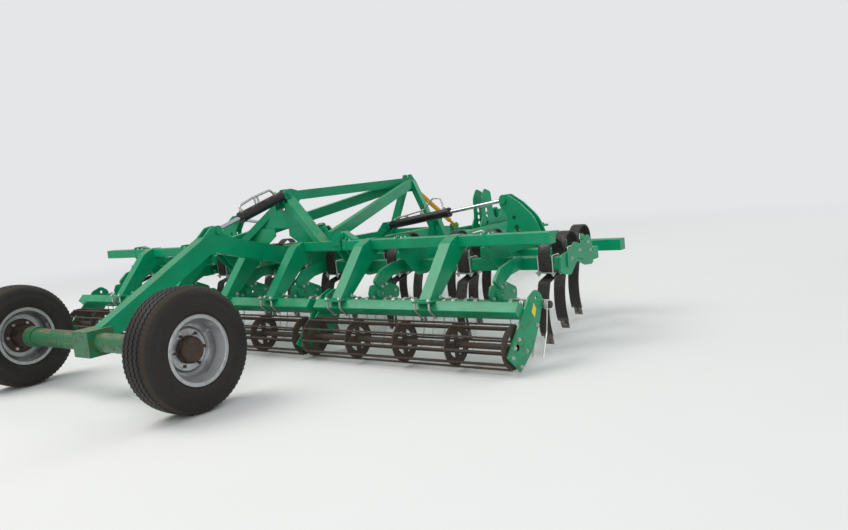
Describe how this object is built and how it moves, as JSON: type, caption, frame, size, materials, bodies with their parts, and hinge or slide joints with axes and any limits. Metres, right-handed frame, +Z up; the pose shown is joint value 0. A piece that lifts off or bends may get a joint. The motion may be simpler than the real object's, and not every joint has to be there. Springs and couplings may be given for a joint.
{
  "type": "trailed cultivator",
  "caption": "Trailed folding field cultivator: sprung tines on cross bars, levelling fingers and bar rollers, lift arm with transport wheels, hinged wings, drawbar with swing stand",
  "frame": {"origin": "on the floor, under the middle of the whole machine", "axes": "+X is the way it travels, +Y its left side, +Z up"},
  "size_m": [6.0325, 5.12, 1.297],
  "materials": {
    "frame_paint": "bright green enamel, field dust",
    "yellow_paint": "orange-yellow enamel",
    "ram_black": "black enamel",
    "chrome": "bright plated rod",
    "spring_steel": "black enamel on spring steel",
    "roller_steel": "worn steel with dry mud",
    "zinc": "zinc plated",
    "rim_silver": "silver grey enamel, dusty",
    "hub_brown": "dark brown primer and grease",
    "tyre": "implement tyre, dusty"
  },
  "bodies": {
    "main_frame": {"centre_bars": "frame_paint", "arm_pin": "zinc", "rear_beam_centre": "frame_paint", "front_hinge_lugs": "frame_paint", "rear_tower": "frame_paint", "mast": "frame_paint", "drawbar": "frame_paint", "turnbuckle": "yellow_paint", "fold_brackets": "frame_paint", "tines_centre": "spring_steel", "comb_bar_centre": "frame_paint", "fingers_centre": "zinc", "roller_carrier_centre": "frame_paint"},
    "roller_centre": {"roller_centre": "roller_steel"},
    "stand": {"parking_stand": "frame_paint"},
    "hitch": {"hitch_yoke": "frame_paint"},
    "rocker": {"lift_arm": "frame_paint", "axle_tube": "frame_paint"},
    "lift_barrel": {"lift_barrel": "ram_black"},
    "lift_rod": {"lift_rod": "chrome"},
    "wheel_left": {"tyre_left": "tyre", "rim_left": "rim_silver", "hub_left": "hub_brown"},
    "wing_left": {"wing_bars_left": "frame_paint", "wing_rear_beam_left": "frame_paint", "wing_horn_left": "frame_paint", "tines_left": "spring_steel", "comb_bar_left": "frame_paint", "fingers_left": "zinc", "roller_carrier_left": "frame_paint"},
    "fold_barrel_left": {"fold_barrel_left": "ram_black"},
    "fold_rod_left": {"fold_rod_left": "chrome"},
    "roller_left": {"roller_left": "roller_steel"},
    "wheel_right": {"tyre_right": "tyre", "rim_right": "rim_silver", "hub_right": "hub_brown"},
    "wing_right": {"wing_bars_right": "frame_paint", "wing_rear_beam_right": "frame_paint", "wing_horn_right": "frame_paint", "tines_right": "spring_steel", "comb_bar_right": "frame_paint", "fingers_right": "zinc", "roller_carrier_right": "frame_paint"},
    "fold_barrel_right": {"fold_barrel_right": "ram_black"},
    "fold_rod_right": {"fold_rod_right": "chrome"},
    "roller_right": {"roller_right": "roller_steel"}
  },
  "joints": [
    {"name": "rocker_lift", "type": "hinge", "parent": "main_frame", "child": "rocker", "pos_m": [-0.45567, 0, 0.672], "axis": [0, 1, 0], "range_deg": [-9, 10]},
    {"name": "lift_barrel_tilt", "type": "hinge", "parent": "main_frame", "child": "lift_barrel", "pos_m": [-0.75567, 0, 1.225], "axis": [0, 1, 0], "range_deg": [-11.5, 12.5]},
    {"name": "lift_rod_slide", "type": "slide", "parent": "lift_barrel", "child": "lift_rod", "axis": [-0.9597, 0, -0.2812], "range_m": [-0.12, 0.12]},
    {"name": "hitch_yaw", "type": "hinge", "parent": "main_frame", "child": "hitch", "pos_m": [2.85433, 0, 0.585], "axis": [0, 0, 1], "range_deg": [-45, 45]},
    {"name": "stand_swing", "type": "hinge", "parent": "main_frame", "child": "stand", "pos_m": [2.68433, 0, 0.772], "axis": [0, 1, 0], "range_deg": [0, 126]},
    {"name": "roller_centre_spin", "type": "hinge", "parent": "main_frame", "child": "roller_centre", "pos_m": [-1.36567, 0, 0.166], "axis": [0, 1, 0], "continuous": true},
    {"name": "wheel_left_spin", "type": "hinge", "parent": "rocker", "child": "wheel_left", "pos_m": [-2.63633, 1.02, 0.38], "axis": [0, 1, 0], "continuous": true},
    {"name": "wing_left_fold", "type": "hinge", "parent": "main_frame", "child": "wing_left", "pos_m": [-0.63567, 0.74, 0.866], "axis": [1, 0, 0], "range_deg": [0, 90]},
    {"name": "fold_barrel_left_tilt", "type": "hinge", "parent": "main_frame", "child": "fold_barrel_left", "pos_m": [0.08433, 0.4, 0.85], "axis": [1, 0, 0], "range_deg": [0, 75]},
    {"name": "fold_rod_left_slide", "type": "slide", "parent": "fold_barrel_left", "child": "fold_rod_left", "axis": [0, 0.9924, 0.1231], "range_m": [-0.33, 0]},
    {"name": "roller_left_spin", "type": "hinge", "parent": "wing_left", "child": "roller_left", "pos_m": [-1.36567, 1.6, 0.166], "axis": [0, 1, 0], "continuous": true},
    {"name": "wheel_right_spin", "type": "hinge", "parent": "rocker", "child": "wheel_right", "pos_m": [-2.63633, -1.02, 0.38], "axis": [0, 1, 0], "continuous": true},
    {"name": "wing_right_fold", "type": "hinge", "parent": "main_frame", "child": "wing_right", "pos_m": [-0.63567, -0.74, 0.866], "axis": [-1, 0, 0], "range_deg": [0, 90]},
    {"name": "fold_barrel_right_tilt", "type": "hinge", "parent": "main_frame", "child": "fold_barrel_right", "pos_m": [0.08433, -0.4, 0.85], "axis": [-1, 0, 0], "range_deg": [0, 75]},
    {"name": "fold_rod_right_slide", "type": "slide", "parent": "fold_barrel_right", "child": "fold_rod_right", "axis": [0, -0.9924, 0.1231], "range_m": [-0.33, 0]},
    {"name": "roller_right_spin", "type": "hinge", "parent": "wing_right", "child": "roller_right", "pos_m": [-1.36567, -1.6, 0.166], "axis": [0, 1, 0], "continuous": true}
  ],
  "couplings": [
    {"joint": "lift_barrel_tilt", "follows": "rocker_lift", "ratio": 1.172},
    {"joint": "lift_rod_slide", "follows": "rocker_lift", "m_per_rad": -0.611},
    {"joint": "fold_barrel_left_tilt", "follows": "wing_left_fold", "ratio": 0.7854},
    {"joint": "fold_rod_left_slide", "follows": "wing_left_fold", "m_per_rad": -0.19863},
    {"joint": "fold_barrel_right_tilt", "follows": "wing_right_fold", "ratio": 0.7854},
    {"joint": "fold_rod_right_slide", "follows": "wing_right_fold", "m_per_rad": -0.19863}
  ]
}
